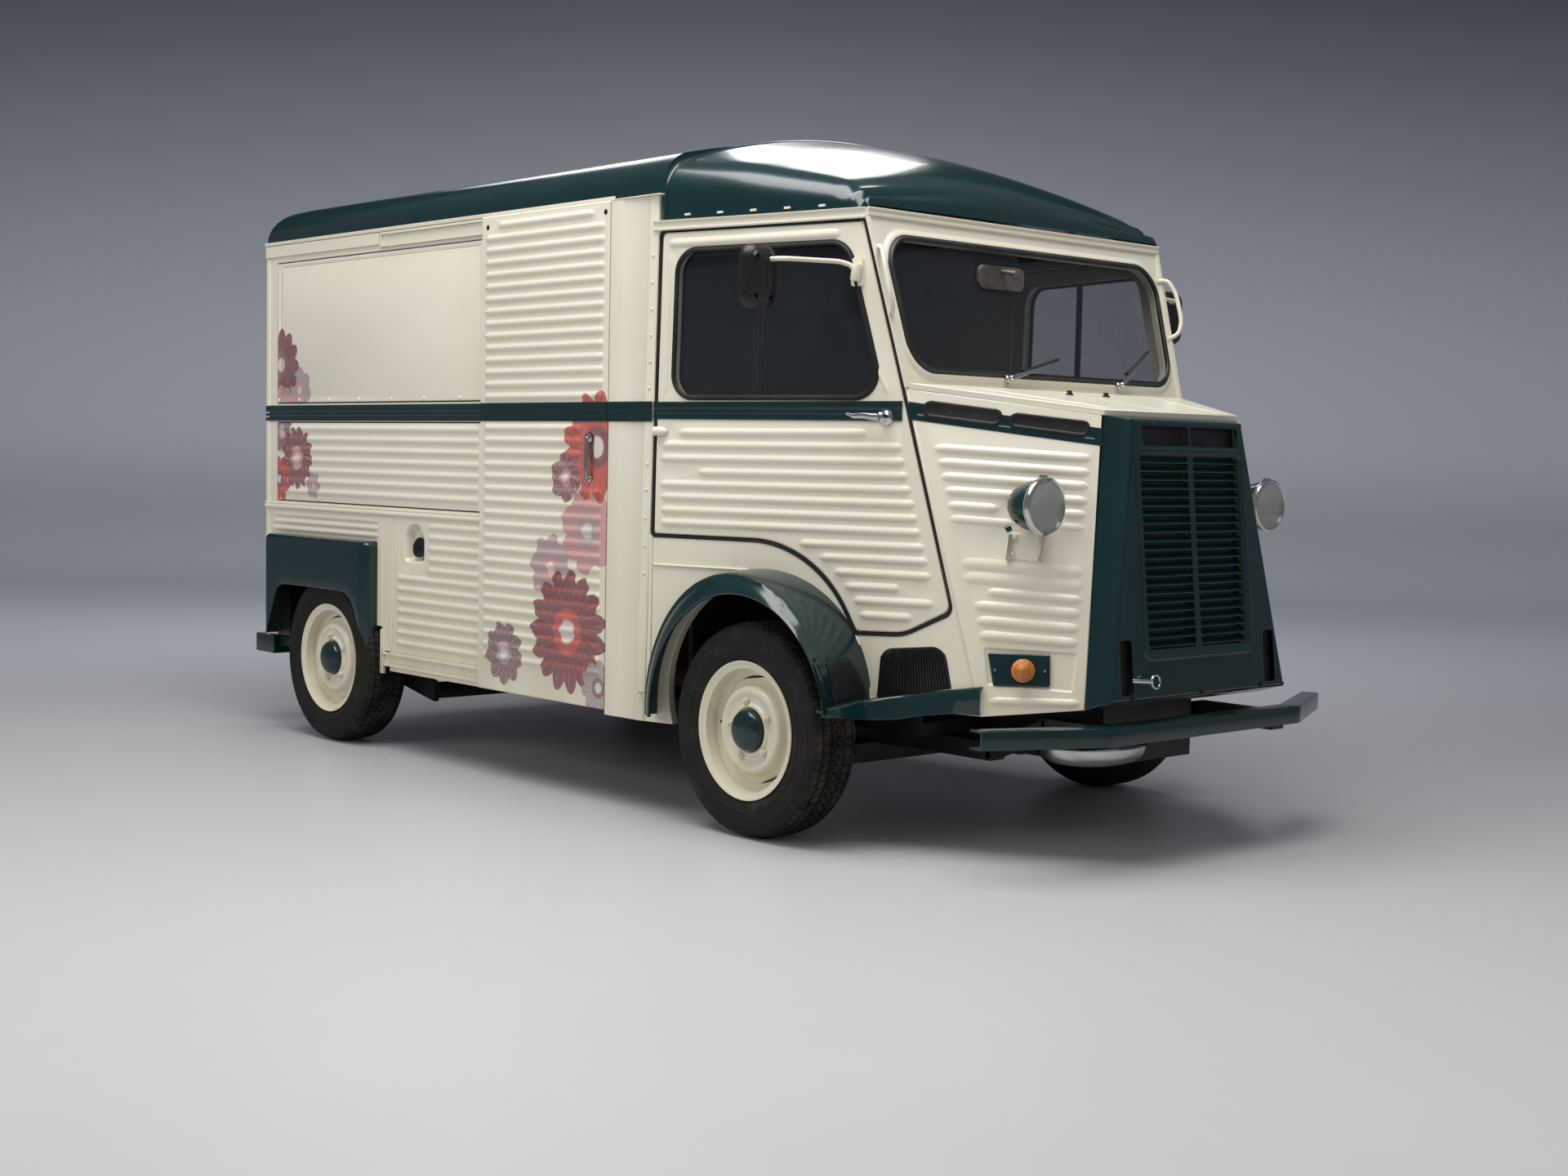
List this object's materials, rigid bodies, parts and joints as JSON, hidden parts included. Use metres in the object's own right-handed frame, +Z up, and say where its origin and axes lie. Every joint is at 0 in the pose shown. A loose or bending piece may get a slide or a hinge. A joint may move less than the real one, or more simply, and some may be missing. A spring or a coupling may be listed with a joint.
{
  "type": "ice cream truck",
  "caption": "Ribbed steel delivery van as an ice cream truck: serving hatch, counter flap, sliding side door, hinged cab and rear doors, bonnet, steered rolling wheels.",
  "frame": {"origin": "on the ground under the middle of the vehicle's length and width", "axes": "+X forwards, +Y to the vehicle's left, +Z up"},
  "size_m": [4.26, 2.1, 2.2479],
  "materials": {
    "amber_plastic": "gloss",
    "black_metal": "satin",
    "black_plastic": "matt",
    "bright_metal": "polished",
    "cream_paint": "gloss",
    "glass": "clear",
    "green_paint": "gloss",
    "lamp_glass": "fluted",
    "raw_metal": "matt",
    "red_plastic": "gloss",
    "seat_vinyl": "satin",
    "tyre": "matt"
  },
  "bodies": {
    "body": {"cab_floor": "black_metal", "cab_roof": "green_paint", "cab_side_left": "cream_paint", "cab_side_right": "cream_paint", "dashboard": "black_plastic", "door_posts": "cream_paint", "door_rails": "cream_paint", "engine_block": "raw_metal", "firewall": "cream_paint", "front_axle": "black_metal", "front_bumper": "green_paint", "front_fenders": "green_paint", "front_wheel_houses": "black_metal", "grab_handles": "cream_paint", "grille_shell": "green_paint", "headlamp_lenses": "lamp_glass", "headlamps": "green_paint", "indicators": "amber_plastic", "load_floor": "black_metal", "load_roof": "green_paint", "nose_sides": "cream_paint", "rear_axle": "black_metal", "rear_bumper": "black_metal", "rear_fenders": "green_paint", "rear_frame": "cream_paint", "rear_wheel_houses": "cream_paint", "seats": "seat_vinyl", "steering_wheel": "black_plastic", "tail_lamps": "red_plastic", "wall_left": "cream_paint", "wall_right": "cream_paint", "windscreen_frame": "cream_paint", "windscreen_glass": "glass", "wipers": "bright_metal"},
    "serving_hatch": {"serving_hatch": "cream_paint"},
    "counter_flap": {"counter_flap": "cream_paint"},
    "rear_top_flap": {"rear_top_flap": "cream_paint", "rear_flap_glass": "glass"},
    "rear_door_right": {"rear_door_right": "cream_paint"},
    "rear_door_left": {"rear_door_left": "cream_paint"},
    "cab_door_right": {"cab_door_right": "cream_paint", "cab_door_glass_right": "glass", "mirror_right": "black_plastic"},
    "cab_door_left": {"cab_door_left": "cream_paint", "cab_door_glass_left": "glass", "mirror_left": "black_plastic"},
    "bonnet": {"bonnet": "cream_paint"},
    "sliding_door": {"sliding_door": "cream_paint"},
    "knuckle_right": {"knuckle_right": "raw_metal"},
    "knuckle_left": {"knuckle_left": "raw_metal"},
    "wheel_front_right": {"tyre_front_right": "tyre", "rim_front_right": "cream_paint"},
    "wheel_front_left": {"tyre_front_left": "tyre", "rim_front_left": "cream_paint"},
    "wheel_rear_right": {"tyre_rear_right": "tyre", "rim_rear_right": "cream_paint"},
    "wheel_rear_left": {"tyre_rear_left": "tyre", "rim_rear_left": "cream_paint"}
  },
  "joints": [
    {"name": "cab_door_right_hinge", "type": "hinge", "parent": "body", "child": "cab_door_right", "pos_m": [0.55748, -0.87635, 0], "axis": [-0.0184, -0.0042, -0.9998], "range_deg": [0, 70]},
    {"name": "cab_door_left_hinge", "type": "hinge", "parent": "body", "child": "cab_door_left", "pos_m": [0.55748, 0.87635, 0], "axis": [0.0184, 0.0042, 0.9998], "range_deg": [0, 70]},
    {"name": "sliding_door_travel", "type": "slide", "parent": "body", "child": "sliding_door", "axis": [1, 0, 0], "range_m": [-0.685, 0]},
    {"name": "serving_hatch_hinge", "type": "hinge", "parent": "body", "child": "serving_hatch", "pos_m": [0, -0.862, 1.9155], "axis": [-1, 0, 0], "range_deg": [0, 85]},
    {"name": "counter_flap_hinge", "type": "hinge", "parent": "body", "child": "counter_flap", "pos_m": [0, -0.862, 0.9435], "axis": [1, 0, 0], "range_deg": [0, 90]},
    {"name": "rear_top_flap_hinge", "type": "hinge", "parent": "body", "child": "rear_top_flap", "pos_m": [-2.039, 0, 1.8875], "axis": [0, 1, 0], "range_deg": [0, 85]},
    {"name": "rear_door_right_hinge", "type": "hinge", "parent": "body", "child": "rear_door_right", "pos_m": [-2.039, -0.6575, 0], "axis": [0, 0, 1], "range_deg": [0, 110]},
    {"name": "rear_door_left_hinge", "type": "hinge", "parent": "body", "child": "rear_door_left", "pos_m": [-2.039, 0.6575, 0], "axis": [0, 0, -1], "range_deg": [0, 110]},
    {"name": "bonnet_hinge", "type": "hinge", "parent": "body", "child": "bonnet", "pos_m": [1.493, 0, 1.384], "axis": [0, -1, 0], "range_deg": [0, 45]},
    {"name": "steer_right", "type": "hinge", "parent": "body", "child": "knuckle_right", "pos_m": [1.064, -0.775, 0.331], "axis": [0, 0, 1], "range_deg": [-30, 30]},
    {"name": "steer_left", "type": "hinge", "parent": "body", "child": "knuckle_left", "pos_m": [1.064, 0.775, 0.331], "axis": [0, 0, 1], "range_deg": [-30, 30]},
    {"name": "spin_front_right", "type": "hinge", "parent": "knuckle_right", "child": "wheel_front_right", "pos_m": [1.064, -0.815, 0.331], "axis": [0, 1, 0], "continuous": true},
    {"name": "spin_front_left", "type": "hinge", "parent": "knuckle_left", "child": "wheel_front_left", "pos_m": [1.064, 0.815, 0.331], "axis": [0, 1, 0], "continuous": true},
    {"name": "spin_rear_right", "type": "hinge", "parent": "body", "child": "wheel_rear_right", "pos_m": [-1.444, -0.824, 0.331], "axis": [0, 1, 0], "continuous": true},
    {"name": "spin_rear_left", "type": "hinge", "parent": "body", "child": "wheel_rear_left", "pos_m": [-1.444, 0.824, 0.331], "axis": [0, 1, 0], "continuous": true}
  ],
  "couplings": [
    {"joint": "steer_left", "follows": "steer_right", "ratio": 1}
  ]
}
